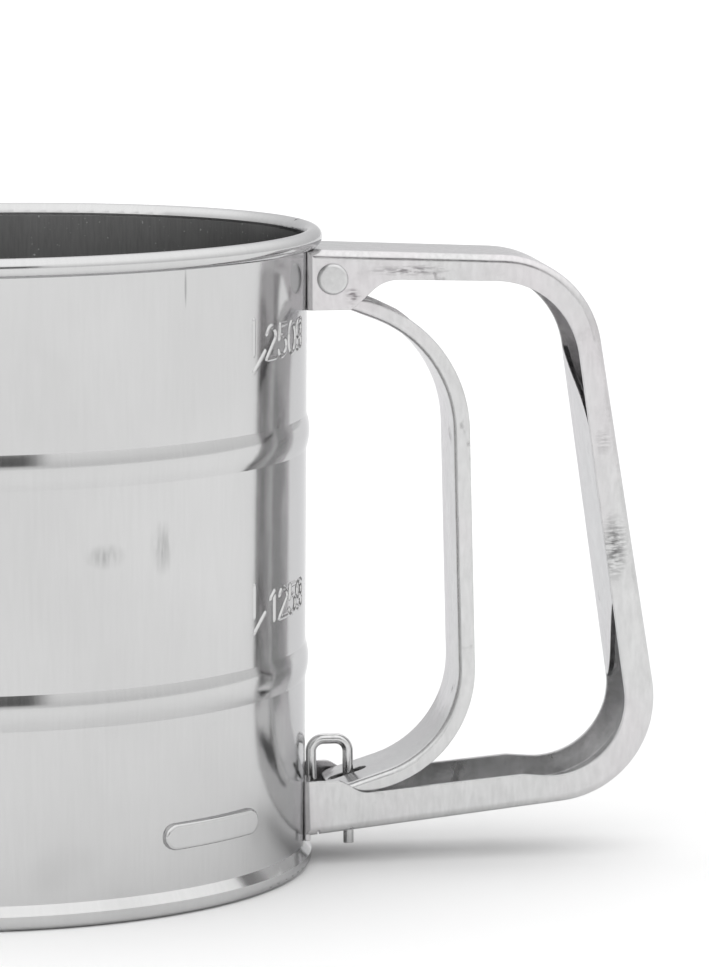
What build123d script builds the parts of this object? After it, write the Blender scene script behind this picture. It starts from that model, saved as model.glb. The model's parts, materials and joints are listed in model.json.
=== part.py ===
from build123d import *
import os
from math import cos, hypot, radians, sin, sqrt

# Squeeze-handle flour sifter.
# Frame: millimetres, origin on the cup's axis in the plane that the cup stands on.
# +Z up the cup, +X from the cup's axis towards the handle.

os.makedirs("parts", exist_ok=True)

# ---- cup shell ----
SHEET = 0.6  # sheet thickness of the cup
RIM_Z = 94.3  # height of the rolled rim's tube centre
WALL_TOP_R = 50.0  # outside wall radius at the rim
DRAFT = 0.0149  # wall radius lost per millimetre of depth
CURL_R = 1.4  # outside radius of the rolled rim's tube
CURL_TURN = 292.0  # degrees that the rim is rolled through
SEAM_GAP = 0.4  # butt joint of the rolled rim
SEAM_CLOCK = 10.0  # its angle from the handle's middle plane
HEM_R = 49.7  # outside radius of the base hem
HEM_ROUND = 1.5
HEM_TOP = 2.2
WALL_FOOT_Z = 3.6  # where the wall leaves the hem's step
OUTLET_R = 46.0  # radius of the outlet below the screen
SKIRT_H = 2.6  # height of the hem's inner skirt
SWAGE_Z = [31.2, 65.4]  # the two stiffening beads
SWAGE_HALF = 2.6
SWAGE_PROUD = 0.45

# ---- pockets for the bridge, and the slot for the pull rod ----
POCKET_CLOCK = -49.0  # angle of the first pocket
POCKET_COUNT = 4
POCKET_Z = 11.45
POCKET_L = 19.0
POCKET_H = 3.8
POCKET_PROUD = 0.8
POCKET_EDGE = 0.45
WALL_SLOT_W = 2.6
WALL_SLOT_Z = (7.4, 10.2)

# ---- screen ----
SCREEN_Z = 3.0
SCREEN_T = 0.5
SCREEN_R = 47.4
FRAME_SHEET = 0.4
FRAME_LIP_R = 44.6
RETAINER_WIRE_R = 0.75
RETAINER_ARC = 354.0  # the spring wire is a ring with a gap

# ---- outer handle ----
HANDLE_W = 18.2
HANDLE_SHEET = 0.8
BEND_R = 1.2  # outside radius of the folds along the channel
OUTER_PATH = [(44.0, 92.8), (91.4, 90.6), (103.35, 10.25), (44.0, 3.9)]
OUTER_ROUND = [15.5, 15.7]
FREE_EDGE = [
    (44.0, 83.5), (55.9, 83.5), (60.7, 87.9), (88.5, 87.0), (98.4, 11.3),
    (81.0, 12.85), (56.7, 10.75), (53.6, 12.7), (44.0, 12.7),
]
FREE_EDGE_ROUND = [1.5, 5.5, 13.0, 11.3, 3.0, 3.5, 2.5]
TAB_SHEET = 0.8
TAB_REACH = 3.6  # the weld tabs stop this far from the middle plane
TAB_Z = [(3.7, 12.7), (83.5, 92.0)]
TAB_BEND_R = 1.2  # outside radius of the fold between a flange and its tab
NOTCH_W = 0.35
NOTCH_TOP = 5.3
NOTCH_REACH = 1.45  # distance of the notch from the wall
FIT = 0.02  # clearance where a sheet lies on the cup's wall
LIP_FAR_Z = (24.5, 76.0)  # the folded lip where it leaves the far flange
LIP_NEAR_Z = (38.5, 65.5)  # and where it meets the near flange
LIP_TOP = [(3.2, 72.2), (-4.0, 68.9)]  # (y, z) where its upper end steps down
LIP_FOOT = [(-3.5, 34.4), (1.8, 29.0)]  # and where its lower end does
LIP_GAP = 0.15
GUIDE_X = (54.3, 76.6)  # slot that guides the pull rod's leg
GUIDE_W = 2.4

# ---- trigger ----
PIVOT = (53.0, 88.1)
TRIGGER_W = 16.0
TRIGGER_SHEET = 0.8
TRIGGER_DEPTH = 2.4
TRIGGER_BEND_R = 0.9
TRIGGER_PATH = [(54.5, 83.8), (70.9, 77.25), (71.8, 17.4), (51.9, 11.2)]
TRIGGER_ROUND = [18.3, 16.0]
TRIGGER_END_ROUND = 3.5
EAR_R = 2.45
EAR_ROOT = (1.0, -0.35)  # from the end of the web to where the ear leaves it
EAR_SCALLOP = [(57.2, 84.7), (59.4, 84.2), (61.9, 83.15), (64.4, 81.9)]  # flange edge by the ear
SCALLOP_BACK = [(66.4, 84.0), (60.0, 88.0), (55.6, 88.0)]
EAR_TURN = 30.0  # degrees below the pivot where the ear runs back to the web
FLANGE_END_X = 57.0  # the flanges stop here, and the web runs on to the rod
FLANGE_RAMP = 2.2
PULL_SLOT_X = (52.5, 58.4)
PULL_SLOT_W = 2.7

# ---- rivet, sleeve, washers and spring at the pivot ----
RIVET_R = 1.5
RIVET_RUN = 0.04  # radial clearance on the rivet
RIVET_HEAD_R = 2.3
RIVET_HEAD_H = 0.9
HEAD_ROUND = 0.6  # share of a head's height that is rounded off
SLEEVE_R = 1.95
SLEEVE_L = 14.0
WASHER_R = 2.6
WASHER_T = 0.2
COIL_R = 2.5
SPRING_WIRE_R = 0.38
COIL_TURNS = 4  # whole turns, before the part turn that sets the legs apart
COIL_PITCH = 1.1
SPRING_LEG = 8.0
SPRING_LEG_DROP = 15.0  # slope in degrees of the leg that lies on the trigger

# ---- pull rod ----
ROD_R = 0.8
ROD_Z = 8.6  # height of the rod's run inside the cup
LEG_X = 55.6  # leg that the trigger pulls
LOOP_X = 50.0  # leg beside the cup's wall
LOOP_Z = 17.6
LEG_END_Z = 1.6
CRANK_R = 15.0  # distance of the rod's inner end from the middle plane
CRANK_HALF = 9.75  # half of the rod's travel
JOG_X = 26.0  # where the rod leaves the middle plane
ROD_END_Z = 4.6
ROD_BENDS = [1.9, 1.9, 1.7, 12.0, 1.9]

# ---- agitator, its pin and the bridge ----
PLATE_Z = 5.0
PLATE_T = 0.8
ARM_COUNT = 4
ARM_TIP_R = 43.6
ARM_W = 7.0
ARM_ROOT_R = 9.0
FIN_TOP_Z = 7.1
FIN_ROOT_R = 22.0
CRANK_REST = -123.0  # angle of the slotted arm at rest
CRANK_SLOT_R = 16.4
CRANK_SLOT_L = 6.0
CRANK_SLOT_W = 2.7
CRANK_PAD_R = 5.0
HUB_R = 3.4
HUB_TOP_Z = 10.1
HUB_FLANGE_R = 4.6
PIN_R = 2.0
PIN_RUN = 0.05
PIN_HEAD_R = 3.6
PIN_HEAD_H = 1.4
PIN_FOOT_Z = 3.8
PIN_FOOT_R = 3.2
PIN_FOOT_T = 0.6
PIN_WASHER_R = 4.8
PIN_PLAY = 0.1  # end play at each washer on the pin
BRIDGE_T = 1.2
BRIDGE_W = 8.0
BRIDGE_FOOT_W = 14.5
BRIDGE_FOOT_L = 4.5
BRIDGE_HUB_R = 9.0
BRIDGE_RIB_W = 2.4
BRIDGE_RIB_H = 0.8
BRIDGE_RIB_REACH = (13.0, 43.0)  # radii between which an arm is ribbed
BRIDGE_CLEAR = 0.05  # between an arm's end and its pocket

REACH = 4.0  # how far a cutting shape runs past what it cuts
TOOL_H = 60.0  # height of the cutting cylinders

SIDE = Plane(origin=(0, 0, 0), x_dir=(1, 0, 0), z_dir=(0, -1, 0))


def wall_r(z):
    """Outside radius of the tapered wall at height z."""
    return WALL_TOP_R - (RIM_Z - z) * DRAFT


def parallel(points, distance):
    """Corners of the polyline that runs beside points, distance to its left."""
    runs = []
    for (x0, z0), (x1, z1) in zip(points, points[1:]):
        length = hypot(x1 - x0, z1 - z0)
        dx, dz = (x1 - x0) / length, (z1 - z0) / length
        runs.append((x0 - dz * distance, z0 + dx * distance, dx, dz, length))
    corners = [(runs[0][0], runs[0][1])]
    for (ax, az, adx, adz, _), (bx, bz, bdx, bdz, _) in zip(runs, runs[1:]):
        along = ((bx - ax) * bdz - (bz - az) * bdx) / (adx * bdz - adz * bdx)
        corners.append((ax + adx * along, az + adz * along))
    x, z, dx, dz, length = runs[-1]
    corners.append((x + dx * length, z + dz * length))
    return corners


def save(part, name):
    """Label one finished piece and write it."""
    part.label = name
    export_step(part, f"parts/{name}.step")


def folds_on(part, line, width):
    """The two long edges where a channel's web, drawn as line, meets its flanges."""
    return part.edges().filter_by(
        lambda edge: abs(abs(edge.center().Y) - width / 2) < 0.01
        and line.distance_to(Vertex(edge.center().X, 0, edge.center().Z)) < 0.01
    )


def wall_profile(inset):
    """Points from the hem's step up to the rim, with a bead as (low, crest, high)."""
    points = [(wall_r(WALL_FOOT_Z) - inset, WALL_FOOT_Z)]
    for z in SWAGE_Z:
        points.append((wall_r(z - SWAGE_HALF) - inset, z - SWAGE_HALF))
        points.append((wall_r(z) + SWAGE_PROUD - inset, z))
        points.append((wall_r(z + SWAGE_HALF) - inset, z + SWAGE_HALF))
    points.append((WALL_TOP_R - inset, RIM_Z))
    return points


# ---- pockets: a pad pressed outwards, and the recess inside it ----
pocket_r = wall_r(POCKET_Z)
with BuildPart() as pocket_pad:
    with BuildSketch(Plane.YZ.offset(pocket_r - REACH)):
        with Locations((0, POCKET_Z)):
            SlotOverall(POCKET_L, POCKET_H)
    extrude(amount=2 * REACH)
    Cylinder(pocket_r + POCKET_PROUD, TOOL_H, mode=Mode.INTERSECT)
    fillet(pocket_pad.faces().sort_by(Axis.X)[-1].edges(), POCKET_EDGE)
    Cylinder(pocket_r - SHEET / 2, TOOL_H, mode=Mode.SUBTRACT)

with BuildPart() as pocket_recess:
    with BuildSketch(Plane.YZ.offset(pocket_r - REACH)):
        with Locations((0, POCKET_Z)):
            SlotOverall(POCKET_L - 2 * SHEET, POCKET_H - 2 * SHEET)
    extrude(amount=2 * REACH)
    Cylinder(pocket_r + POCKET_PROUD - SHEET, TOOL_H, mode=Mode.INTERSECT)

# ---- cup shell: a drawn sheet with a rolled rim, two beads and a folded hem ----
curl_centre = (WALL_TOP_R - SHEET + CURL_R, RIM_Z)
outer_wall = wall_profile(0)
inner_wall = wall_profile(SHEET)
with BuildPart() as cup_shell:
    with BuildSketch(SIDE):
        with BuildLine():
            Polyline((OUTLET_R, SKIRT_H), (OUTLET_R, 0), (HEM_R - HEM_ROUND, 0))
            CenterArc((HEM_R - HEM_ROUND, HEM_ROUND), HEM_ROUND, -90, 90)
            Polyline((HEM_R, HEM_ROUND), (HEM_R, HEM_TOP), outer_wall[0])
            CenterArc((HEM_R - HEM_ROUND, HEM_ROUND), HEM_ROUND - SHEET, -90, 90)
            Polyline((HEM_R - SHEET, HEM_ROUND), (HEM_R - SHEET, HEM_TOP), inner_wall[0])
            Polyline(
                (HEM_R - HEM_ROUND, SHEET),
                (OUTLET_R + SHEET, SHEET),
                (OUTLET_R + SHEET, SKIRT_H),
                (OUTLET_R, SKIRT_H),
            )
            for side in (outer_wall, inner_wall):
                for first in (0, 3, 6):
                    Line(side[first], side[first + 1])
                for low in (1, 4):
                    ThreePointArc(side[low], side[low + 1], side[low + 2])
            inner_curl = CenterArc(curl_centre, CURL_R - SHEET, 180, -CURL_TURN)
            outer_curl = CenterArc(curl_centre, CURL_R, 180, -CURL_TURN)
            Line(inner_curl @ 1, outer_curl @ 1)
        make_face()
    revolve(axis=Axis.Z)
    with PolarLocations(0, POCKET_COUNT, start_angle=POCKET_CLOCK):
        add(pocket_pad.part)
        add(pocket_recess.part, mode=Mode.SUBTRACT)
    with BuildSketch(Plane.YZ.offset(wall_r(ROD_Z) - REACH)):
        with Locations((0, sum(WALL_SLOT_Z) / 2)):
            SlotOverall(WALL_SLOT_Z[1] - WALL_SLOT_Z[0], WALL_SLOT_W, rotation=90)
    extrude(amount=2 * REACH, mode=Mode.SUBTRACT)
    with Locations((0, 0, RIM_Z)), PolarLocations(WALL_TOP_R + CURL_R, 1, SEAM_CLOCK):
        Box(2 * (CURL_R - FIT), SEAM_GAP, 3 * CURL_R, mode=Mode.SUBTRACT)
save(cup_shell.part, "cup_shell")

# The solid that the wall encloses: sheets that lie on the wall are trimmed with it.
with BuildPart() as wall_envelope:
    with BuildSketch(SIDE):
        with BuildLine():
            Polyline(
                (0, 0), (wall_r(0) + FIT, 0), (wall_r(RIM_Z) + FIT, RIM_Z), (0, RIM_Z), (0, 0)
            )
        make_face()
    revolve(axis=Axis.Z)

# ---- screen: woven disc, the crimped frame round it and the spring wire above ----
with BuildPart() as screen_mesh:
    with BuildSketch(Plane.XY.offset(SCREEN_Z)):
        Circle(SCREEN_R)
    extrude(amount=SCREEN_T)
save(screen_mesh.part, "screen_mesh")

with BuildPart() as screen_frame:
    with BuildSketch(Plane.XY.offset(SCREEN_Z - FRAME_SHEET)):
        Circle(SCREEN_R + FRAME_SHEET)
        Circle(FRAME_LIP_R, mode=Mode.SUBTRACT)
    extrude(amount=SCREEN_T + 2 * FRAME_SHEET)
    with BuildSketch(Plane.XY.offset(SCREEN_Z)):
        Circle(SCREEN_R)
    extrude(amount=SCREEN_T, mode=Mode.SUBTRACT)
save(screen_frame.part, "screen_frame")

retainer_z = SCREEN_Z + SCREEN_T + FRAME_SHEET + RETAINER_WIRE_R
retainer_r = wall_r(retainer_z) - SHEET - RETAINER_WIRE_R - FIT
with BuildPart() as screen_retainer:
    with BuildSketch(SIDE):
        with Locations((retainer_r, retainer_z)):
            Circle(RETAINER_WIRE_R)
    revolve(axis=Axis.Z, revolution_arc=RETAINER_ARC)
save(screen_retainer.part, "screen_retainer")

# ---- outer handle: a folded channel, closed along the grip, with weld tabs ----
web_inside = parallel(OUTER_PATH, -HANDLE_SHEET)
grip_top, grip_foot = Vector(*FREE_EDGE[3]), Vector(*FREE_EDGE[4])
grip_run = (grip_foot - grip_top).normalized()
lip_plane = Plane(
    origin=(grip_top.X, 0, grip_top.Y),
    x_dir=(0, 1, 0),
    z_dir=(grip_run.Y, 0, -grip_run.X),
)


def down_grip(z):
    """Distance along the grip's free edge to the height z."""
    return (z - grip_top.Y) / grip_run.Y


tool_l, tool_h = 2 * WALL_TOP_R + REACH, RIM_Z + REACH
with BuildPart() as weld_tabs:
    for low, high in TAB_Z:
        with Locations((0, 0, (low + high) / 2)):
            Cylinder(wall_r(high) + FIT + TAB_SHEET, high - low)
    with Locations((0, 0, RIM_Z / 2)):
        Box(tool_l, 2 * TAB_REACH, tool_h, mode=Mode.SUBTRACT)
        Box(tool_l, HANDLE_W - HANDLE_SHEET, tool_h, mode=Mode.INTERSECT)
    with Locations((-WALL_TOP_R, 0, RIM_Z / 2)):
        Box(3 * WALL_TOP_R, HANDLE_W, tool_h, mode=Mode.SUBTRACT)

# What is cut from a flange's square end to leave the rounded fold of its tab.
with BuildPart() as tab_corners:
    for low, high in TAB_Z:
        corner_x = sqrt(wall_r((low + high) / 2) ** 2 - HANDLE_W**2 / 4)
        with BuildSketch(Plane.XY.offset(low - REACH / 2)):
            for side in (-1, 1):
                with Locations((corner_x, side * HANDLE_W / 2)):
                    Rectangle(2 * TAB_BEND_R, 2 * TAB_BEND_R)
                with Locations((corner_x + TAB_BEND_R, side * (HANDLE_W / 2 - TAB_BEND_R))):
                    Circle(TAB_BEND_R, mode=Mode.SUBTRACT)
        extrude(amount=high - low + REACH)

with BuildLine(SIDE) as outer_line:
    FilletPolyline(*OUTER_PATH, radius=OUTER_ROUND)

with BuildPart() as outer_handle:
    with BuildSketch(SIDE):
        with BuildLine():
            FilletPolyline(*OUTER_PATH, radius=OUTER_ROUND)
            Line(OUTER_PATH[-1], FREE_EDGE[-1])
            FilletPolyline(*FREE_EDGE, radius=FREE_EDGE_ROUND)
            Line(FREE_EDGE[0], OUTER_PATH[0])
        make_face()
    extrude(amount=HANDLE_W / 2, both=True)
    fillet(folds_on(outer_handle, outer_line.line, HANDLE_W), BEND_R)
    with BuildSketch(SIDE):
        with BuildLine():
            FilletPolyline(
                *web_inside, radius=[radius - HANDLE_SHEET for radius in OUTER_ROUND]
            )
            Line(web_inside[-1], web_inside[0])
        make_face()
    extrude(amount=HANDLE_W / 2 - HANDLE_SHEET, both=True, mode=Mode.SUBTRACT)
    with BuildSketch(lip_plane):
        with BuildLine():
            near, far = LIP_GAP + HANDLE_SHEET - HANDLE_W / 2, (HANDLE_W - HANDLE_SHEET) / 2
            upper = [(far, LIP_FAR_Z[1]), *LIP_TOP, (near, LIP_NEAR_Z[1])]
            lower = [(near, LIP_NEAR_Z[0]), *LIP_FOOT, (far, LIP_FAR_Z[0])]
            upper_end = Spline(*[(y, down_grip(z)) for y, z in upper])
            lower_end = Spline(*[(y, down_grip(z)) for y, z in lower])
            Line(upper_end @ 1, lower_end @ 0)
            Line(lower_end @ 1, upper_end @ 0)
        make_face()
    extrude(amount=-HANDLE_SHEET)
    add(weld_tabs.part)
    add(wall_envelope.part, mode=Mode.SUBTRACT)
    add(tab_corners.part, mode=Mode.SUBTRACT)
    with BuildSketch(SIDE):
        with Locations(PIVOT):
            Circle(RIVET_R)
    extrude(amount=HANDLE_W, both=True, mode=Mode.SUBTRACT)
    with BuildSketch(Plane.XY):
        with Locations((sum(GUIDE_X) / 2, 0)):
            SlotOverall(GUIDE_X[1] - GUIDE_X[0], GUIDE_W)
    extrude(amount=PIVOT[1] / 2, mode=Mode.SUBTRACT)
    with Locations((wall_r(NOTCH_TOP) + NOTCH_REACH, 0, NOTCH_TOP / 2)):
        Box(NOTCH_W, 2 * HANDLE_W, NOTCH_TOP, mode=Mode.SUBTRACT)
save(outer_handle.part, "outer_handle")

# ---- trigger: a shallower channel that nests between the handle's flanges ----
trigger_web = parallel(TRIGGER_PATH, TRIGGER_SHEET)
trigger_free = parallel(TRIGGER_PATH, TRIGGER_DEPTH)
run_x, run_z = TRIGGER_PATH[3][0] - TRIGGER_PATH[2][0], TRIGGER_PATH[3][1] - TRIGGER_PATH[2][1]
flange_share = (FLANGE_END_X - TRIGGER_PATH[2][0]) / run_x
flange_end = (
    trigger_free[2][0] + (trigger_free[3][0] - trigger_free[2][0]) * flange_share,
    trigger_free[2][1] + (trigger_free[3][1] - trigger_free[2][1]) * flange_share,
)
foot_x = FLANGE_END_X - FLANGE_RAMP
flange_foot = (foot_x, trigger_web[3][1] + (foot_x - trigger_web[3][0]) * run_z / run_x)
ear_dx, ear_dz = EAR_ROOT
with BuildLine(SIDE) as trigger_line:
    FilletPolyline(*TRIGGER_PATH, radius=TRIGGER_ROUND)

with BuildPart() as trigger:
    with BuildSketch(SIDE):
        with BuildLine():
            FilletPolyline(*TRIGGER_PATH, radius=TRIGGER_ROUND)
            Polyline(TRIGGER_PATH[3], trigger_web[3], flange_foot, flange_end)
            FilletPolyline(
                *trigger_free[:3],
                flange_end,
                radius=[TRIGGER_ROUND[0] + TRIGGER_DEPTH, TRIGGER_ROUND[1] + TRIGGER_DEPTH],
            )
            Line(trigger_free[0], TRIGGER_PATH[0])
        make_face()
        with BuildLine():
            Polyline(
                TRIGGER_PATH[0],
                (TRIGGER_PATH[0][0] + ear_dx, TRIGGER_PATH[0][1] + ear_dz),
                (trigger_free[0][0] + ear_dx, trigger_free[0][1] + ear_dz),
                (PIVOT[0] + EAR_R, PIVOT[1]),
                PIVOT,
                (
                    PIVOT[0] - EAR_R * cos(radians(EAR_TURN)),
                    PIVOT[1] - EAR_R * sin(radians(EAR_TURN)),
                ),
                TRIGGER_PATH[0],
            )
        make_face()
        with Locations(PIVOT):
            Circle(EAR_R)
    extrude(amount=TRIGGER_W / 2, both=True)
    fillet(folds_on(trigger, trigger_line.line, TRIGGER_W), TRIGGER_BEND_R)
    with BuildSketch(SIDE):
        with BuildLine():
            FilletPolyline(
                *trigger_web,
                radius=[TRIGGER_ROUND[0] + TRIGGER_SHEET, TRIGGER_ROUND[1] + TRIGGER_SHEET],
            )
            Polyline(
                trigger_web[3], (trigger_web[3][0], 0), (OUTER_PATH[2][0], 0),
                (OUTER_PATH[1][0], RIM_Z), (WALL_TOP_R, RIM_Z),
                (WALL_TOP_R, trigger_web[0][1]), trigger_web[0],
            )
        make_face()
    extrude(amount=TRIGGER_W / 2 - TRIGGER_SHEET, both=True, mode=Mode.SUBTRACT)
    with BuildSketch(SIDE):
        with BuildLine():
            Spline(*EAR_SCALLOP)
            Polyline(EAR_SCALLOP[-1], *SCALLOP_BACK, EAR_SCALLOP[0])
        make_face()
    extrude(amount=TRIGGER_W, both=True, mode=Mode.SUBTRACT)
    with BuildSketch(SIDE):
        with Locations(PIVOT):
            Circle(RIVET_R + RIVET_RUN)
    extrude(amount=TRIGGER_W, both=True, mode=Mode.SUBTRACT)
    with BuildSketch(Plane.XY):
        with Locations((sum(PULL_SLOT_X) / 2, 0)):
            SlotOverall(PULL_SLOT_X[1] - PULL_SLOT_X[0], PULL_SLOT_W)
    extrude(amount=PIVOT[1] / 2, mode=Mode.SUBTRACT)
    end_x = trigger_web[3][0]
    with BuildSketch(Plane.XY):
        with Locations((end_x, 0)):
            Rectangle(2 * TRIGGER_END_ROUND, 2 * TRIGGER_W)
        with Locations((end_x + TRIGGER_W, 0)):
            RectangleRounded(
                2 * TRIGGER_W, TRIGGER_W + FIT, TRIGGER_END_ROUND, mode=Mode.SUBTRACT
            )
    extrude(amount=LOOP_Z, mode=Mode.SUBTRACT)
save(trigger.part, "trigger")

# ---- pivot: rivet, the sleeve that spaces the ears, washers and the return spring ----
with BuildPart() as pivot_rivet:
    with BuildSketch(SIDE):
        with Locations(PIVOT):
            Circle(RIVET_R)
    extrude(amount=HANDLE_W / 2, both=True)
    for side in (-1, 1):
        with BuildSketch(SIDE.offset(side * HANDLE_W / 2)):
            with Locations(PIVOT):
                Circle(RIVET_HEAD_R)
        extrude(amount=side * RIVET_HEAD_H)
    rims = pivot_rivet.faces().sort_by(Axis.Y)
    fillet(rims[0].edges() + rims[-1].edges(), RIVET_HEAD_H * HEAD_ROUND)
save(pivot_rivet.part, "pivot_rivet")

with BuildPart() as pivot_sleeve:
    with BuildSketch(SIDE):
        with Locations(PIVOT):
            Circle(SLEEVE_R)
            Circle(RIVET_R + RIVET_RUN, mode=Mode.SUBTRACT)
    extrude(amount=SLEEVE_L / 2, both=True)
save(pivot_sleeve.part, "pivot_sleeve")

washer_y = TRIGGER_W / 2 + (HANDLE_W / 2 - HANDLE_SHEET - TRIGGER_W / 2 - WASHER_T) / 2
for name, side in (("pivot_washer_left", -1), ("pivot_washer_right", 1)):
    with BuildPart() as pivot_washer:
        with BuildSketch(SIDE.offset(-side * washer_y)):
            with Locations(PIVOT):
                Circle(WASHER_R)
                Circle(RIVET_R + RIVET_RUN, mode=Mode.SUBTRACT)
        extrude(amount=-side * WASHER_T)
    save(pivot_washer.part, name)

coil_l = COIL_PITCH * (COIL_TURNS + (180 - SPRING_LEG_DROP) / 360)
with BuildPart() as torsion_spring:
    with BuildLine():
        coil = Helix(
            pitch=COIL_PITCH,
            height=coil_l,
            radius=COIL_R,
            center=(PIVOT[0], -coil_l / 2, PIVOT[1]),
            direction=(0, 1, 0),
            lefthand=True,
        )
    with BuildSketch(Plane(origin=coil @ 0, z_dir=coil % 0)):
        Circle(SPRING_WIRE_R)
    sweep(path=coil, is_frenet=True)
    for foot, heading in ((coil @ 0, (coil % 0) * -1), (coil @ 1, coil % 1)):
        with BuildSketch(Plane(origin=foot, z_dir=heading)):
            Circle(SPRING_WIRE_R)
        extrude(amount=SPRING_LEG)
save(torsion_spring.part, "torsion_spring")

# ---- pull rod: one bent wire ----
with BuildPart() as pull_rod:
    with BuildLine() as rod_line:
        FilletPolyline(
            (LEG_X, 0, LEG_END_Z),
            (LEG_X, 0, LOOP_Z),
            (LOOP_X, 0, LOOP_Z),
            (LOOP_X, 0, ROD_Z),
            (JOG_X, 0, ROD_Z),
            (-CRANK_HALF, -CRANK_R, ROD_Z),
            (-CRANK_HALF, -CRANK_R, ROD_END_Z),
            radius=ROD_BENDS,
        )
    with BuildSketch(Plane(origin=rod_line.line @ 0, z_dir=rod_line.line % 0)):
        Circle(ROD_R)
    sweep()
save(pull_rod.part, "pull_rod")

# ---- agitator: plate with four blades, one of them slotted for the rod ----
with BuildPart() as agitator:
    with BuildSketch(Plane.XY.offset(PLATE_Z)):
        Circle(ARM_ROOT_R)
        with PolarLocations(ARM_TIP_R / 2, ARM_COUNT, start_angle=CRANK_REST):
            Rectangle(ARM_TIP_R, ARM_W)
        with PolarLocations(CRANK_SLOT_R, 1, start_angle=CRANK_REST):
            Circle(CRANK_PAD_R)
            SlotOverall(CRANK_SLOT_L, CRANK_SLOT_W, mode=Mode.SUBTRACT)
        Circle(HUB_R, mode=Mode.SUBTRACT)
    extrude(amount=PLATE_T)
    with BuildSketch(Plane.XY.offset(PLATE_Z + PLATE_T)):
        with PolarLocations(0, ARM_COUNT, start_angle=CRANK_REST):
            with Locations(((FIN_ROOT_R + ARM_TIP_R) / 2, (PLATE_T - ARM_W) / 2)):
                Rectangle(ARM_TIP_R - FIN_ROOT_R, PLATE_T)
    extrude(amount=FIN_TOP_Z - PLATE_Z - PLATE_T)
save(agitator.part, "agitator")

with BuildPart() as agitator_hub:
    with BuildSketch(Plane.XY.offset(PLATE_Z)):
        Circle(HUB_R)
        Circle(PIN_R + PIN_RUN, mode=Mode.SUBTRACT)
    extrude(amount=HUB_TOP_Z - PLATE_Z)
    with BuildSketch(Plane.XY.offset(PLATE_Z + PLATE_T)):
        Circle(HUB_FLANGE_R)
        Circle(HUB_R, mode=Mode.SUBTRACT)
    extrude(amount=PLATE_T)
save(agitator_hub.part, "agitator_hub")

# ---- bridge: a four-armed spider, sprung into the pockets above the agitator ----
bridge_z = POCKET_Z - BRIDGE_T / 2
bridge_tip_r = pocket_r + POCKET_PROUD - SHEET - BRIDGE_CLEAR
with BuildPart() as bridge:
    with BuildSketch(Plane.XY.offset(bridge_z)):
        Circle(BRIDGE_HUB_R)
        with PolarLocations(bridge_tip_r / 2, POCKET_COUNT, start_angle=POCKET_CLOCK):
            Rectangle(bridge_tip_r, BRIDGE_W)
        with PolarLocations(
            bridge_tip_r - BRIDGE_FOOT_L / 2, POCKET_COUNT, start_angle=POCKET_CLOCK
        ):
            Rectangle(BRIDGE_FOOT_L, BRIDGE_FOOT_W)
        Circle(PIN_R, mode=Mode.SUBTRACT)
    extrude(amount=BRIDGE_T)
    Cylinder(bridge_tip_r, TOOL_H, mode=Mode.INTERSECT)
    with BuildSketch(Plane.XY.offset(bridge_z + BRIDGE_T)):
        with PolarLocations(sum(BRIDGE_RIB_REACH) / 2, POCKET_COUNT, start_angle=POCKET_CLOCK):
            SlotOverall(BRIDGE_RIB_REACH[1] - BRIDGE_RIB_REACH[0], BRIDGE_RIB_W)
    extrude(amount=BRIDGE_RIB_H)
save(bridge.part, "bridge")

with BuildPart() as pin_washer:
    with BuildSketch(Plane.XY.offset(HUB_TOP_Z + PIN_PLAY)):
        Circle(PIN_WASHER_R)
        Circle(PIN_R + PIN_RUN, mode=Mode.SUBTRACT)
    extrude(amount=bridge_z - HUB_TOP_Z - 2 * PIN_PLAY)
save(pin_washer.part, "pin_washer")

pin_head_z = bridge_z + BRIDGE_T
with BuildPart() as agitator_pin:
    with BuildSketch(Plane.XY.offset(PIN_FOOT_Z)):
        Circle(PIN_FOOT_R)
    extrude(amount=PIN_FOOT_T)
    with BuildSketch(Plane.XY.offset(PIN_FOOT_Z)):
        Circle(PIN_R)
    extrude(amount=pin_head_z - PIN_FOOT_Z)
    with BuildSketch(Plane.XY.offset(pin_head_z)):
        Circle(PIN_HEAD_R)
    extrude(amount=PIN_HEAD_H)
    fillet(agitator_pin.faces().sort_by(Axis.Z)[-1].edges(), PIN_HEAD_H * HEAD_ROUND)
save(agitator_pin.part, "agitator_pin")

foot_top = PIN_FOOT_Z + PIN_FOOT_T
with BuildPart() as retaining_washer:
    with BuildSketch(Plane.XY.offset(foot_top + PIN_PLAY / 2)):
        Circle(PIN_WASHER_R)
        Circle(PIN_R + PIN_RUN, mode=Mode.SUBTRACT)
    extrude(amount=PLATE_Z - foot_top - 1.5 * PIN_PLAY)
save(retaining_washer.part, "retaining_washer")
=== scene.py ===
import json
from math import ceil, cos, hypot, inf, pi, radians, sin, sqrt

import bmesh
import bpy
from mathutils import Matrix, Vector


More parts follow.
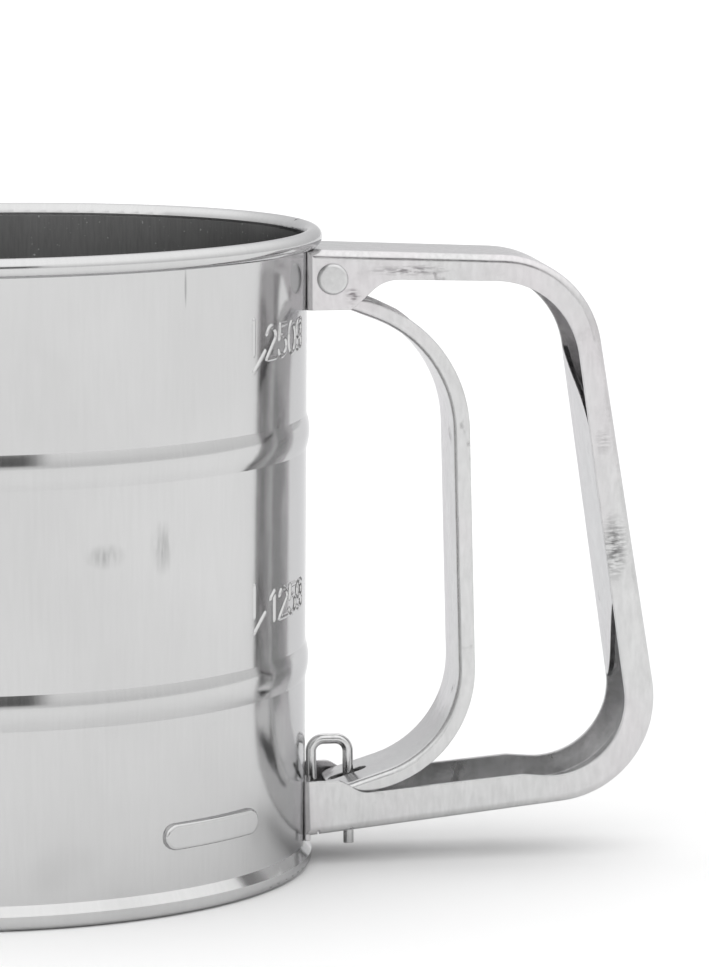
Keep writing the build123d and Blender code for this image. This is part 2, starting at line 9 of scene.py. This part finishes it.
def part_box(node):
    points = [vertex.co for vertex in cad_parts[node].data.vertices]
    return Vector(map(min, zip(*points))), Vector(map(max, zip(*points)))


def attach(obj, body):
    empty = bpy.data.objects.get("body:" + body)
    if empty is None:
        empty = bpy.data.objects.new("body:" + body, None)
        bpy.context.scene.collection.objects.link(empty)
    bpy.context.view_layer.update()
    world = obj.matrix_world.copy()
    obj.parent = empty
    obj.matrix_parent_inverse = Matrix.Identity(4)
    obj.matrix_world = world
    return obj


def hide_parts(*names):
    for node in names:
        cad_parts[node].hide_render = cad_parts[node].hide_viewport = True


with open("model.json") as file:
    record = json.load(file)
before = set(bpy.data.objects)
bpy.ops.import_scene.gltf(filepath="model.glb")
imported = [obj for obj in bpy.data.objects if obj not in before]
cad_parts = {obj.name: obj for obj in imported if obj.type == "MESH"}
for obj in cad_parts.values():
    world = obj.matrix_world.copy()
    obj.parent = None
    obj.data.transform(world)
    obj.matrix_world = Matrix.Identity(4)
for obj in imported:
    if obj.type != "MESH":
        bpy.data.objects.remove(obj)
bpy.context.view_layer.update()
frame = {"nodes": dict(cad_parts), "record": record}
MM = 0.001

# ---- the cup: sizes in metres, turns in degrees from the handle ----
SHEET = 0.6 * MM
WALL_TOP_Z = 94.3 * MM
WALL_TOP_R = 50.0 * MM
WALL_DRAFT = 0.0149  # how much the radius shrinks per unit of depth
SIDE_BLEND = 0.05 * MM  # the outer finish turns into the inner one over twice this
RIM_MARGIN = 0.4 * MM  # the inner finish stops this far below the wall's top

# Rubbed places on the cup: turn, height and half sizes.
RUBBED = (
    (-60.2, 53.5 * MM, (2.2 * MM, 2.2 * MM, 4.2 * MM)),
    (-70.8, 52.9 * MM, (3.4 * MM, 3.4 * MM, 2.0 * MM)),
)
RUB_DEPTH = 0.17
RUB_CORE = 0.2  # the part of a rubbed or scuffed place's reach that is at full strength
SCRATCH_TURN = -55.2
SCRATCH_Z = 90.3 * MM
SCRATCH_REACH = (0.25 * MM, 0.25 * MM, 3.4 * MM)
SCRATCH_DEPTH = 0.2

# Hatched scuffs on the handle's near flange: centre, half sizes, and how much they darken it.
SCUFFED = (
    ((95.0 * MM, -9.1 * MM, 47.0 * MM), (2.3 * MM, 1.0 * MM, 6.0 * MM), 0.4),
    ((93.4 * MM, -9.1 * MM, 63.0 * MM), (1.5 * MM, 1.0 * MM, 2.6 * MM), 0.2),
    ((64.5 * MM, -9.1 * MM, 89.2 * MM), (7.0 * MM, 1.0 * MM, 0.9 * MM), 0.45),
    ((55.9 * MM, -9.1 * MM, 85.6 * MM), (1.4 * MM, 1.0 * MM, 1.5 * MM), 0.6),
)

# ---- the woven screen ----
MESH_PITCH = 1.3 * MM
MESH_WIRE_R = 0.13 * MM
MESH_WAVE = 0.12 * MM  # how far a wire rises and falls where it crosses the others
MESH_EDGE = 0.25 * MM  # the weave stops this far inside the screen's rim
MESH_STEPS = 4  # lengths that a wire is divided into from one crossing to the next
WIRE_SIDES = 4

# ---- the raised marks ----
MARK_TUCK = 0.05 * MM  # the shell's margin round the strokes lies this far inside the wall
MARK_RISE = 0.26 * MM  # height of a stroke over that margin
MARK_SINK = 0.25 * MM  # depth of the shell's back in the sheet
MARK_STROKE = 0.3 * MM  # half the width of a stroke
MARK_SOFT = 0.42 * MM  # width of the slope at its sides
MARK_STEP = 0.12 * MM  # size of the shell's cells

# By piece: text, turns of its first and last letter's outer sides, foot and height of the letters,
# and the tick's lines, whose points are (turn, height in millimetres).
GRAM_MARKS = {
    "mark_250g": ("250g", (-34.2, -17.4), 78.5 * MM, 4.5 * MM,
                  [[(-38.3, 84.4), (-38.3, 79.4)], [(-34.6, 79.6), (-38.2, 76.9)]]),
    "mark_125g": ("125g", (-32.7, -16.3), 40.0 * MM, 4.2 * MM,
                  [[(-38.0, 45.8), (-38.0, 41.2)], [(-34.4, 41.4), (-37.9, 38.9)]]),
}

# ---- camera ----
CAMERA_AT = Vector((-34.7, -795.1, 160.9)) * MM
CAMERA_TURN = 6.58  # degrees that the view is turned from +Y towards +X
CAMERA_PITCH = 7.44  # degrees that it looks down
CAMERA_ROLL = -0.52
LENS = 199.9
SENSOR = 36

# ---- studio: limits are parts of the unit vector that points to a place in the room ----
FLOOR_HALF = 14.0
WALL_LIGHT = 0.86
CEILING_LIGHT = 1.36
CEILING_Z = (0.0, 0.8)
BAND_DEPTH = 0.85
BAND_MIDDLE_X = 0.16
BAND_SIDE = (0.08, 0.24)
BAND_BACK_Y = (-0.8, -0.6)
BAND_FOOT_Z = (0.05, 0.14)
BAND_TOP_Z = (0.36, 0.5)

# ---- finishes ----
USUAL_NOISE = (0.3, 0.7)  # nearly all of a noise field lies between these
EDGE_TINT = (0.75, 0.75, 0.76, 1)
WARM_TINT = (0.7, 0.63, 0.67, 1)
TINT_SHARE = 0.5


def wall_radius(z):
    return WALL_TOP_R - (WALL_TOP_Z - z) * WALL_DRAFT


def on_wall(turn, z):
    radius = wall_radius(z)
    return (radius * cos(radians(turn)), radius * sin(radians(turn)), z)


# ---- camera: the photograph's viewing angle ----
def place_camera():
    turn, pitch, roll = radians(CAMERA_TURN), radians(CAMERA_PITCH), radians(CAMERA_ROLL)
    ahead = Vector((sin(turn) * cos(pitch), cos(turn) * cos(pitch), -sin(pitch)))
    level = Vector((cos(turn), -sin(turn), 0))
    upright = level.cross(ahead)
    right = cos(roll) * level + sin(roll) * upright
    up = right.cross(ahead)
    data = bpy.data.cameras.new("camera")
    data.lens = LENS
    data.sensor_width = SENSOR
    camera = bpy.data.objects.new("camera", data)
    axes = Matrix((right, up, -ahead)).transposed().to_4x4()
    camera.matrix_world = Matrix.Translation(CAMERA_AT) @ axes
    bpy.context.scene.collection.objects.link(camera)
    bpy.context.scene.camera = camera


# ---- materials ----
class Shade:
    """A material's node tree, with short calls for the nodes that the finishes share."""

    def __init__(self, name):
        self.material = bpy.data.materials.new(name)
        self.material.use_nodes = True
        self.tree = self.material.node_tree
        self.shader = self.tree.nodes["Principled BSDF"]

    def node(self, kind, **settings):
        made = self.tree.nodes.new(kind)
        for key, value in settings.items():
            setattr(made, key, value)
        return made

    def put(self, socket, value):
        if isinstance(value, bpy.types.NodeSocket):
            self.tree.links.new(value, socket)
        else:
            socket.default_value = value

    def place(self, stretch=(1, 1, 1)):
        """The place on the part, in metres times the stretch along X, Y and Z."""
        coordinates = self.node("ShaderNodeTexCoord")
        mapping = self.node("ShaderNodeMapping")
        self.put(mapping.inputs["Vector"], coordinates.outputs["Object"])
        mapping.inputs["Scale"].default_value = stretch
        return mapping.outputs["Vector"]

    def around(self, upward):
        """A vector for streaks that run up a round wall, and the place's radius and height.

        Its first two parts go round a unit circle, and the third is the height times upward.
        """
        split = self.node("ShaderNodeSeparateXYZ")
        self.put(split.inputs[0], self.place())
        x, y, z = split.outputs
        squares = self.math("ADD", self.math("MULTIPLY", x, x), self.math("MULTIPLY", y, y))
        radius = self.math("SQRT", squares)
        joined = self.node("ShaderNodeCombineXYZ")
        self.put(joined.inputs[0], self.math("DIVIDE", x, radius))
        self.put(joined.inputs[1], self.math("DIVIDE", y, radius))
        self.put(joined.inputs[2], self.math("MULTIPLY", z, upward))
        return joined.outputs[0], radius, z

    def math(self, operation, first, second=0.0):
        made = self.node("ShaderNodeMath", operation=operation)
        self.put(made.inputs[0], first)
        self.put(made.inputs[1], second)
        return made.outputs[0]

    def more(self, value, share, most):
        """The value, plus a share of the most that it may gain."""
        return self.math("ADD", value, self.math("MULTIPLY", share, most))

    def less(self, value, share, most):
        """The value, less a share of the most that it may lose."""
        return self.math("SUBTRACT", value, self.math("MULTIPLY", share, most))

    def noise(self, where, scale, detail=2, roughness=0.5):
        made = self.node("ShaderNodeTexNoise")
        self.put(made.inputs["Vector"], where)
        made.inputs["Scale"].default_value = scale
        made.inputs["Detail"].default_value = detail
        made.inputs["Roughness"].default_value = roughness
        return made.outputs["Fac"]

    def span(self, value, low, high, to_low=0.0, to_high=1.0):
        made = self.node("ShaderNodeMapRange")
        self.put(made.inputs[0], value)
        for number, limit in enumerate((low, high, to_low, to_high), 1):
            self.put(made.inputs[number], limit)
        return made.outputs[0]

    def vary(self, field, to_low, to_high):
        """A number that goes from to_low to to_high as a noise field goes over its usual range."""
        return self.span(field, *USUAL_NOISE, to_low, to_high)

    def blend(self, share, first, second):
        made = self.node("ShaderNodeMix", data_type="RGBA")
        self.put(made.inputs[0], share)
        self.put(made.inputs[6], first)
        self.put(made.inputs[7], second)
        return made.outputs[2]

    def grey(self, value):
        joined = self.node("ShaderNodeCombineColor")
        for channel in joined.inputs:
            self.put(channel, value)
        return joined.outputs[0]

    def bump(self, height, strength, distance, normal=None):
        made = self.node("ShaderNodeBump")
        self.put(made.inputs["Height"], height)
        made.inputs["Strength"].default_value = strength
        made.inputs["Distance"].default_value = distance
        if normal is not None:
            self.put(made.inputs["Normal"], normal)
        return made.outputs["Normal"]

    def spot(self, center, reach, core=0.4):
        """1 in the core of an ellipsoid with that reach, in metres, falling to 0 at its surface."""
        shifted = self.node("ShaderNodeVectorMath", operation="SUBTRACT")
        self.put(shifted.inputs[0], self.place())
        shifted.inputs[1].default_value = center
        scaled = self.node("ShaderNodeVectorMath", operation="DIVIDE")
        self.put(scaled.inputs[0], shifted.outputs[0])
        scaled.inputs[1].default_value = reach
        length = self.node("ShaderNodeVectorMath", operation="LENGTH")
        self.put(length.inputs[0], scaled.outputs[0])
        return self.span(length.outputs["Value"], core, 1.0, 1.0, 0.0)

    def soft_edges(self, radius):
        made = self.node("ShaderNodeBevel", samples=4)
        made.inputs["Radius"].default_value = radius
        return made.outputs["Normal"]

    def finish(self, color, roughness, normal=None):
        self.shader.inputs["Metallic"].default_value = 1
        self.shader.inputs["Specular Tint"].default_value = EDGE_TINT
        self.put(self.shader.inputs["Base Color"], color)
        self.put(self.shader.inputs["Roughness"], roughness)
        if normal is not None:
            self.put(self.shader.inputs["Normal"], normal)
        return self.material


def inner_side(shade, radius, z):
    """1 on the inner face of the cup's wall, and 0 on its outer face and on the rim."""
    inward = shade.math("SUBTRACT", shade.math("MULTIPLY", z, WALL_DRAFT), radius)
    inward = shade.math("ADD", inward, WALL_TOP_R - WALL_TOP_Z * WALL_DRAFT - SHEET / 2)
    behind = shade.span(inward, -SIDE_BLEND, SIDE_BLEND)
    below_rim = shade.math("LESS_THAN", z, WALL_TOP_Z - RIM_MARGIN)
    return shade.math("MULTIPLY", behind, below_rim)


def cup_steel():
    """Polished outside with faint upright streaks, brushed and darker inside."""
    shade = Shade("cup_steel")
    where, radius, z = shade.around(upward=1.5)
    streaks = shade.noise(where, scale=90, detail=4, roughness=0.6)
    blotches = shade.noise(shade.place(), scale=28, detail=3)
    fine = shade.noise(shade.place((1, 1, 0.1)), scale=2600, detail=3, roughness=0.6)
    specks = shade.span(shade.noise(shade.place(), scale=1900, roughness=0.4), 0.72, 0.76)
    smudge_field = shade.noise(shade.place((1, 1, 1.6)), scale=55, detail=1, roughness=0.4)
    smudges = shade.span(smudge_field, 0.68, 0.8)
    inside = inner_side(shade, radius, z)
    outer = shade.less(shade.vary(streaks, 0.575, 0.6), smudges, 0.035)
    outer = shade.math("SUBTRACT", outer, shade.span(blotches, 0.35, 0.7, 0.0, 0.04))
    for turn, height, reach in RUBBED:
        grain = shade.noise(shade.place((1, 1, 0.15)), scale=1400)
        rub = shade.spot(on_wall(turn, height), reach, RUB_CORE)
        rub = shade.math("MULTIPLY", rub, shade.span(grain, 0.3, 0.6))
        outer = shade.less(outer, rub, RUB_DEPTH)
    scratch = shade.spot(on_wall(SCRATCH_TURN, SCRATCH_Z), SCRATCH_REACH)
    outer = shade.less(outer, scratch, SCRATCH_DEPTH)
    inner = shade.more(shade.vary(fine, 0.25, 0.3), specks, 0.4)
    color = shade.blend(inside, shade.grey(outer), shade.grey(inner))
    rough = shade.more(shade.vary(streaks, 0.1, 0.14), smudges, 0.07)
    rough = shade.more(rough, inside, 0.2)
    normal = shade.bump(shade.math("MULTIPLY", fine, inside), strength=0.15, distance=0.05 * MM)
    return shade.finish(color, rough, normal)


def handle_steel():
    """Tumbled sheet: satin, softly pitted, with faint tints and short scuffs."""
    shade = Shade("handle_steel")
    grain = shade.noise(shade.place((1, 1, 0.25)), scale=1500, detail=3, roughness=0.6)
    pits = shade.noise(shade.place(), scale=700)
    tint = shade.span(shade.noise(shade.place((1, 1, 0.6)), scale=70), 0.45, 0.65)
    scuff_field = shade.noise(shade.place((1, 1, 0.7)), scale=160, detail=4, roughness=0.6)
    scuffs = shade.span(scuff_field, 0.66, 0.74)
    base = shade.less(shade.vary(grain, 0.57, 0.65), scuffs, 0.3)
    for center, reach, depth in SCUFFED:
        hatch = shade.noise(shade.place((0.25, 1, 1)), scale=2600, roughness=0.6)
        scuff = shade.spot(center, reach, RUB_CORE)
        scuff = shade.math("MULTIPLY", scuff, shade.span(hatch, 0.4, 0.6))
        base = shade.less(base, scuff, depth)
    plain = shade.grey(base)
    tinted = shade.blend(TINT_SHARE, plain, WARM_TINT)
    color = shade.blend(shade.math("MULTIPLY", tint, TINT_SHARE), plain, tinted)
    rough = shade.more(shade.vary(pits, 0.16, 0.24), scuffs, 0.15)
    normal = shade.soft_edges(0.22 * MM)
    waves = shade.noise(shade.place((1, 1, 0.8)), scale=130, detail=1, roughness=0.4)
    normal = shade.bump(waves, 0.5, 0.7 * MM, normal)
    normal = shade.bump(pits, 0.12, 0.12 * MM, normal)
    return shade.finish(color, rough, normal)


def inner_steel():
    """Plain mill finish with a fine mottle and dull stains."""
    shade = Shade("inner_steel")
    mottle = shade.noise(shade.place(), scale=420, detail=3, roughness=0.6)
    stains = shade.noise(shade.place(), scale=60)
    tone = shade.vary(mottle, 0.48, 0.58)
    tone = shade.math("SUBTRACT", tone, shade.span(stains, 0.45, 0.7, 0, 0.12))
    normal = shade.bump(mottle, 0.1, 0.1 * MM, shade.soft_edges(0.12 * MM))
    return shade.finish(shade.grey(tone), shade.vary(stains, 0.24, 0.38), normal)


def wire_steel():
    """Bright drawn wire, with fine marks stretched upwards."""
    shade = Shade("wire_steel")
    drawn = shade.noise(shade.place((1, 1, 0.2)), scale=1800, detail=3, roughness=0.6)
    tone = shade.vary(drawn, 0.58, 0.7)
    normal = shade.bump(drawn, strength=0.08, distance=0.08 * MM)
    return shade.finish(shade.grey(tone), shade.vary(drawn, 0.14, 0.24), normal)


def mesh_wire():
    """Thin wire, duller and darker than the rest."""
    shade = Shade("mesh_wire")
    drawn = shade.noise(shade.place(), scale=500)
    tone = shade.vary(drawn, 0.42, 0.56)
    return shade.finish(shade.grey(tone), shade.vary(drawn, 0.28, 0.4))


def rivet_steel():
    """Cold-headed and tumbled: matte with shallow facets."""
    shade = Shade("rivet_steel")
    facets = shade.node("ShaderNodeTexVoronoi", feature="SMOOTH_F1")
    shade.put(facets.inputs["Vector"], shade.place())
    facets.inputs["Scale"].default_value = 900
    fine = shade.noise(shade.place(), scale=1500, detail=3, roughness=0.6)
    tone = shade.vary(fine, 0.6, 0.68)
    normal = shade.bump(facets.outputs["Distance"], 0.35, 0.2 * MM, shade.soft_edges(0.2 * MM))
    return shade.finish(shade.grey(tone), shade.vary(fine, 0.36, 0.48), normal)


METALS = {
    "cup_steel": cup_steel(),
    "handle_steel": handle_steel(),
    "inner_steel": inner_steel(),
    "wire_steel": wire_steel(),
    "mesh_wire": mesh_wire(),
    "rivet_steel": rivet_steel(),
}


def clothe_nodes():
    slots = {row["node"]: row["material_slot"] for row in frame["record"]["subparts"]}
    for name, node in frame["nodes"].items():
        node.data.materials.clear()
        node.data.materials.append(METALS[slots[name]])


# ---- new pieces ----
def mesh_object(name, points, faces, smooth=True):
    data = bpy.data.meshes.new(name)
    data.from_pydata(points, [], faces)
    if smooth:
        data.polygons.foreach_set("use_smooth", [True] * len(faces))
    made = bpy.data.objects.new(name, data)
    bpy.context.scene.collection.objects.link(made)
    return made


def add_wire(points, faces, middle, offset, half, crosswise, over):
    """One wavy wire, closed at both ends, at an offset from the disc's middle."""
    angles = [pi / WIRE_SIDES * (2 * side + 1) for side in range(WIRE_SIDES)]
    steps = max(2, int(2 * half / (MESH_PITCH / MESH_STEPS)))
    first = len(points)
    for step in range(steps + 1):
        along = -half + 2 * half * step / steps
        wave = over * MESH_WAVE * cos(pi * along / MESH_PITCH)
        for angle in angles:
            across = offset + MESH_WIRE_R * cos(angle)
            x, y = (across, along) if crosswise else (along, across)
            points.append((middle.x + x, middle.y + y, middle.z + wave + MESH_WIRE_R * sin(angle)))
    made = []
    for step in range(steps):
        here = first + WIRE_SIDES * step
        ahead = here + WIRE_SIDES
        for side in range(WIRE_SIDES):
            beside = (side + 1) % WIRE_SIDES
            made.append((here + side, here + beside, ahead + beside, ahead + side))
    last = first + WIRE_SIDES * steps
    made.append(tuple(first + side for side in reversed(range(WIRE_SIDES))))
    made.append(tuple(last + side for side in range(WIRE_SIDES)))
    faces.extend(made if crosswise else [face[::-1] for face in made])


def woven_screen():
    """Square-sided wires in two directions, over and under each other, cut to the screen's disc."""
    low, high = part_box("screen_mesh")
    middle = (low + high) / 2
    reach = (high.x - low.x) / 2 - MESH_EDGE
    count = int(reach / MESH_PITCH)
    points, faces = [], []
    for crosswise in (False, True):
        for row in range(-count, count + 1):
            offset = row * MESH_PITCH
            half = sqrt(reach ** 2 - offset ** 2)
            over = (-1) ** (row + crosswise)
            add_wire(points, faces, middle, offset, half, crosswise, over)
    screen = mesh_object("woven_screen", points, faces)
    screen.data.materials.append(METALS["mesh_wire"])
    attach(screen, "cup")
    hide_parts("screen_mesh")


def arc(cx, cy, rx, ry, start, stop, steps=14):
    span = [radians(start + (stop - start) * i / steps) for i in range(steps + 1)]
    return [(cx + rx * cos(a), cy + ry * sin(a)) for a in span]


# Each letter's width and lines, in a cell one unit high.
GLYPHS = {
    "1": (0.42, [[(0.05, 0.78), (0.28, 1.0), (0.28, 0.0)]]),
    "2": (0.6, [arc(0.3, 0.72, 0.28, 0.28, 165, -30) + [(0.02, 0.0), (0.6, 0.0)]]),
    "5": (0.6, [[(0.55, 1.0), (0.1, 1.0), (0.05, 0.55)] + arc(0.28, 0.32, 0.3, 0.32, 110, -150)]),
    "0": (0.6, [arc(0.3, 0.5, 0.29, 0.5, 0, 360, 28)]),
    "g": (0.52, [arc(0.26, 0.7, 0.24, 0.28, 0, 360, 22),
                 [(0.5, 1.0), (0.5, 0.22)] + arc(0.26, 0.22, 0.24, 0.2, 0, -150)]),
}
GLYPH_GAP = 0.16


def stroke_distance(u, v, strokes):
    best = inf
    for (ax, ay), (bx, by) in strokes:
        dx, dy = bx - ax, by - ay
        squared = dx * dx + dy * dy
        share = 0 if squared == 0 else min(1, max(0, ((u - ax) * dx + (v - ay) * dy) / squared))
        best = min(best, hypot(u - ax - share * dx, v - ay - share * dy))
    return best


def mark_strokes(text, ends, foot, tall, tick):
    """A mark's straight strokes on the flattened wall, measured from its left end and its foot."""
    first_turn, last_turn = ends
    radius = wall_radius(foot)
    units = sum(GLYPHS[letter][0] for letter in text) + GLYPH_GAP * (len(text) - 1)
    scale = radians(last_turn - first_turn) * radius / units
    strokes, pen = [], 0.0
    for letter in text:
        width, lines = GLYPHS[letter]
        for line in lines:
            placed = [((pen + x) * scale, y * tall) for x, y in line]
            strokes.extend(zip(placed, placed[1:]))
        pen += width + GLYPH_GAP
    for line in tick:
        placed = [(radians(turn - first_turn) * radius, z * MM - foot) for turn, z in line]
        strokes.extend(zip(placed, placed[1:]))
    return strokes


def cell_corners(i, j):
    return [(i, j), (i + 1, j), (i + 1, j + 1), (i, j + 1)]


def mark_relief(strokes):
    """The grid over a mark: its lower left corner, each point's relief, and the cells that it lifts."""
    ends = [end for stroke in strokes for end in stroke]
    edge = MARK_STROKE + MARK_SOFT + 2 * MARK_STEP
    left = min(u for u, v in ends) - edge
    low = min(v for u, v in ends) - edge
    columns = ceil((max(u for u, v in ends) + edge - left) / MARK_STEP)
    rows = ceil((max(v for u, v in ends) + edge - low) / MARK_STEP)
    relief = {}
    for i in range(columns + 1):
        u = left + i * MARK_STEP
        near = [(a, b) for a, b in strokes if min(a[0], b[0]) - edge < u < max(a[0], b[0]) + edge]
        for j in range(rows + 1):
            away = stroke_distance(u, low + j * MARK_STEP, near)
            fall = min(1, max(0, (away - MARK_STROKE + MARK_SOFT / 2) / MARK_SOFT))
            relief[i, j] = 1 - fall * fall * (3 - 2 * fall)
    grid = [(i, j) for i in range(columns) for j in range(rows)]
    lifted = [cell for cell in grid if max(relief[corner] for corner in cell_corners(*cell)) > 0]
    return left, low, relief, lifted


def gram_mark(name, text, ends, foot, tall, tick):
    """Raised letters and a tick, pressed out of the wall, as one shell sunk into the sheet."""
    left, low, relief, cells = mark_relief(mark_strokes(text, ends, foot, tall, tick))
    radius = wall_radius(foot)
    shell = bmesh.new()
    made = {}

    def front_and_back(i, j):
        if (i, j) not in made:
            turn = radians(ends[0]) + (left + i * MARK_STEP) / radius
            z = foot + low + j * MARK_STEP
            front = wall_radius(z) - MARK_TUCK + MARK_RISE * relief[i, j]
            back = wall_radius(z) - MARK_SINK
            made[i, j] = [shell.verts.new((r * cos(turn), r * sin(turn), z)) for r in (front, back)]
        return made[i, j]

    kept = set(cells)
    for i, j in cells:
        ring = [front_and_back(*corner) for corner in cell_corners(i, j)]
        shell.faces.new([front for front, back in ring])
        shell.faces.new([back for front, back in reversed(ring)])
        beside = [(i, j - 1), (i + 1, j), (i, j + 1), (i - 1, j)]
        for side, cell in enumerate(beside):
            if cell not in kept:
                a, b = ring[side], ring[(side + 1) % 4]
                shell.faces.new((b[0], a[0], a[1], b[1]))
    for face in shell.faces:
        face.smooth = True
    data = bpy.data.meshes.new(name)
    shell.to_mesh(data)
    shell.free()
    mark = bpy.data.objects.new(name, data)
    bpy.context.scene.collection.objects.link(mark)
    data.materials.append(METALS["cup_steel"])
    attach(mark, "cup")


# ---- studio ----
def paper_floor():
    ends = ((-1, -1), (1, -1), (1, 1), (-1, 1))
    corners = [(FLOOR_HALF * x, FLOOR_HALF * y, 0) for x, y in ends]
    floor = mesh_object("floor", corners, [(0, 1, 2, 3)], smooth=False)
    paper = Shade("paper")
    tone = paper.vary(paper.noise(paper.place(), scale=3), 0.9, 0.93)
    paper.put(paper.shader.inputs["Base Color"], paper.grey(tone))
    paper.shader.inputs["Roughness"].default_value = 0.8
    paper.shader.inputs["Specular IOR Level"].default_value = 0.1
    floor.data.materials.append(paper.material)


def studio_world():
    """A pale room that is the only light, with a bright ceiling and a low dark band at -Y."""
    world = bpy.data.worlds.new("studio")
    bpy.context.scene.world = world
    world.use_nodes = True
    tree = world.node_tree

    def ramp(value, limits, to_low, to_high):
        made = tree.nodes.new("ShaderNodeMapRange")
        made.interpolation_type = "SMOOTHSTEP"
        tree.links.new(value, made.inputs[0])
        for number, limit in enumerate((*limits, to_low, to_high), 1):
            made.inputs[number].default_value = limit
        return made.outputs[0]

    def math(operation, first, second=0.0):
        made = tree.nodes.new("ShaderNodeMath")
        made.operation = operation
        for socket, value in zip(made.inputs, (first, second)):
            if isinstance(value, bpy.types.NodeSocket):
                tree.links.new(value, socket)
            else:
                socket.default_value = value
        return made.outputs[0]

    place = tree.nodes.new("ShaderNodeTexCoord")
    split = tree.nodes.new("ShaderNodeSeparateXYZ")
    tree.links.new(place.outputs["Generated"], split.inputs[0])
    x, y, z = split.outputs
    room = ramp(z, CEILING_Z, WALL_LIGHT, CEILING_LIGHT)
    across = math("ABSOLUTE", math("SUBTRACT", x, BAND_MIDDLE_X))
    band = math("MULTIPLY", ramp(across, BAND_SIDE, 1, 0), ramp(y, BAND_BACK_Y, 1, 0))
    band = math("MULTIPLY", band, ramp(z, BAND_FOOT_Z, 0, 1))
    band = math("MULTIPLY", band, ramp(z, BAND_TOP_Z, 1, 0))
    light = math("MULTIPLY", room, math("SUBTRACT", 1.0, math("MULTIPLY", band, BAND_DEPTH)))
    background = tree.nodes["Background"]
    tree.links.new(light, background.inputs["Strength"])
    background.inputs["Color"].default_value = (1, 1, 1, 1)
    bpy.context.scene.view_settings.view_transform = "Standard"


place_camera()
clothe_nodes()
woven_screen()
for mark_name, mark_shape in GRAM_MARKS.items():
    gram_mark(mark_name, *mark_shape)
paper_floor()
studio_world()
